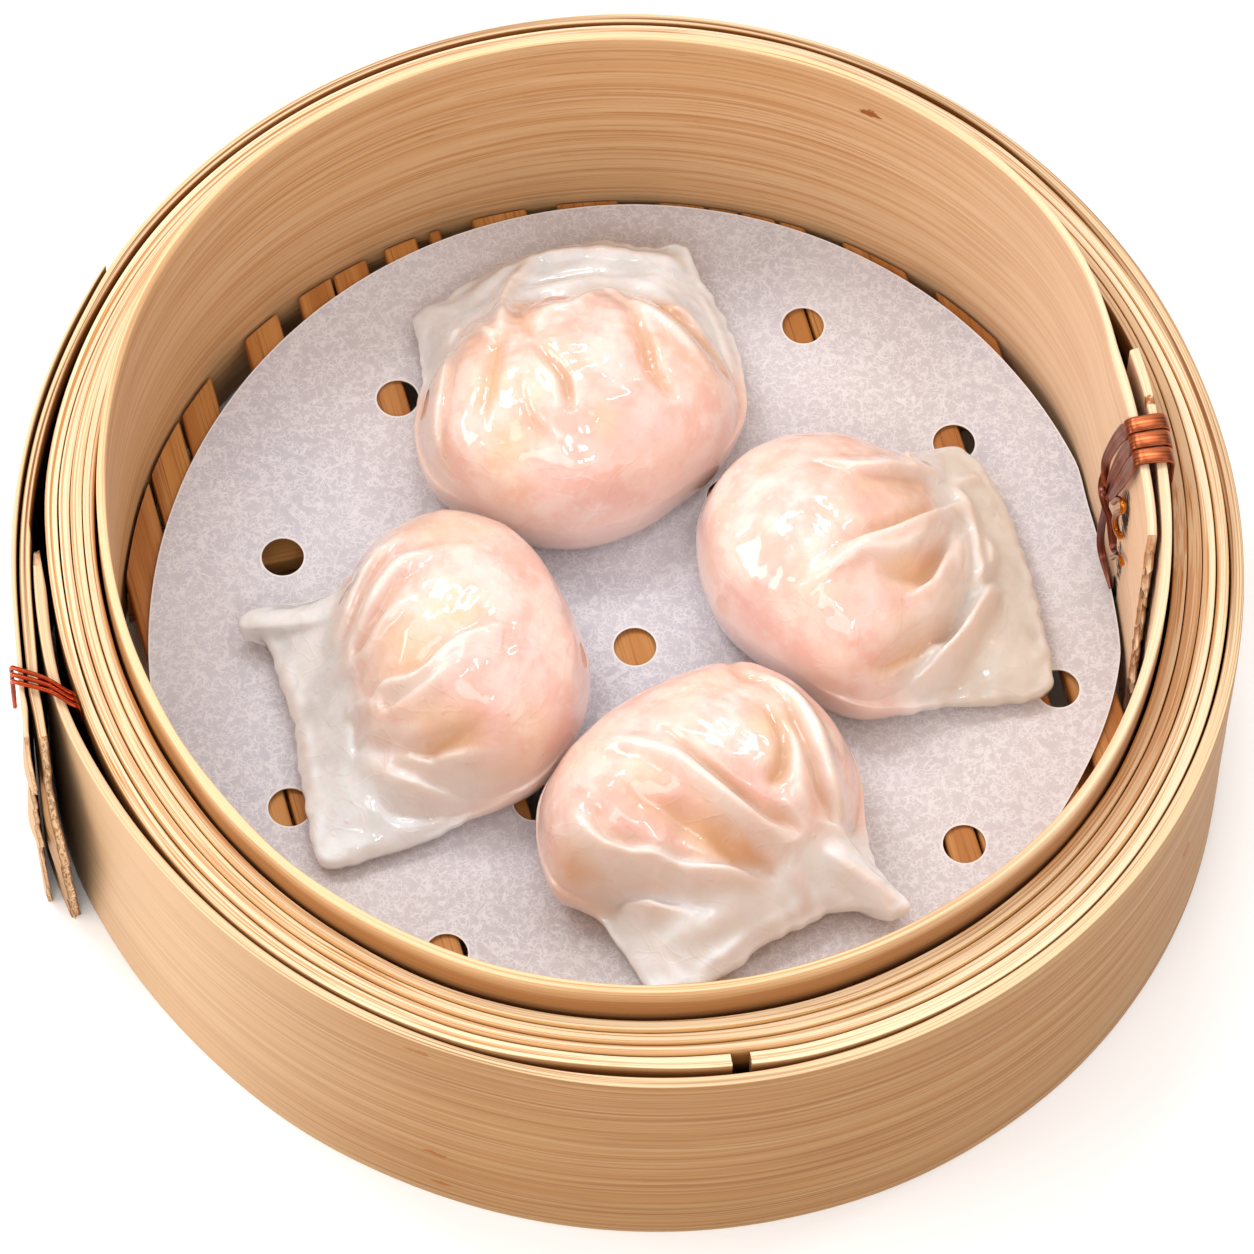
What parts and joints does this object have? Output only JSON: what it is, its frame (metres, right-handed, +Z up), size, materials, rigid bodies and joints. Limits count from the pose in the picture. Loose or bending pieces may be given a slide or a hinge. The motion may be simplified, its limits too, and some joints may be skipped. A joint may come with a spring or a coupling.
{
  "type": "har gow dumplings in bamboo steamer",
  "caption": "Har gow dumplings with pleated translucent skins on a perforated paper liner in a round bamboo steamer basket with a slatted floor and wire and strap ties.",
  "frame": {"origin": "centre of the whole basket's outline, on the plane it stands on", "axes": "+X right, +Y away from the side with the butt joint, +Z up out of the basket"},
  "size_m": [0.1604, 0.1602, 0.053],
  "materials": {
    "bamboo_pale": "pale bamboo strip edges, dry",
    "bamboo_wall": "tan bamboo with fine lengthwise grain, satin",
    "bamboo_floor": "darker steamed bamboo slats",
    "paper": "thin fibrous steaming paper, matt",
    "dumpling_skin": null,
    "copper_strap": null,
    "copper_wire": null
  },
  "bodies": {
    "root": {"outer_wrap": "bamboo_wall", "outer_skin": "bamboo_wall", "ring_a": "bamboo_pale", "ring_b": "bamboo_pale", "ring_c": "bamboo_pale", "ring_d": "bamboo_pale", "inner_lip": "bamboo_wall", "slat_01": "bamboo_floor", "slat_02": "bamboo_floor", "slat_03": "bamboo_floor", "slat_04": "bamboo_floor", "slat_05": "bamboo_floor", "slat_06": "bamboo_floor", "slat_07": "bamboo_floor", "slat_08": "bamboo_floor", "slat_09": "bamboo_floor", "slat_10": "bamboo_floor", "slat_11": "bamboo_floor", "slat_12": "bamboo_floor", "slat_13": "bamboo_floor", "slat_14": "bamboo_floor", "slat_15": "bamboo_floor", "slat_16": "bamboo_floor", "rail_1": "bamboo_floor", "rail_2": "bamboo_floor", "paper_liner": "paper", "dumpling_back": "dumpling_skin", "dumpling_right": "dumpling_skin", "dumpling_left": "dumpling_skin", "dumpling_front": "dumpling_skin", "strap_1": "copper_strap", "strap_2": "copper_strap", "strap_3": "copper_strap", "tail_1": "copper_strap", "tail_2": "copper_strap", "hook_1": "copper_strap", "hook_2": "copper_strap", "strand_1": "copper_wire", "strand_2": "copper_wire", "strand_3": "copper_wire"}
  },
  "joints": []
}
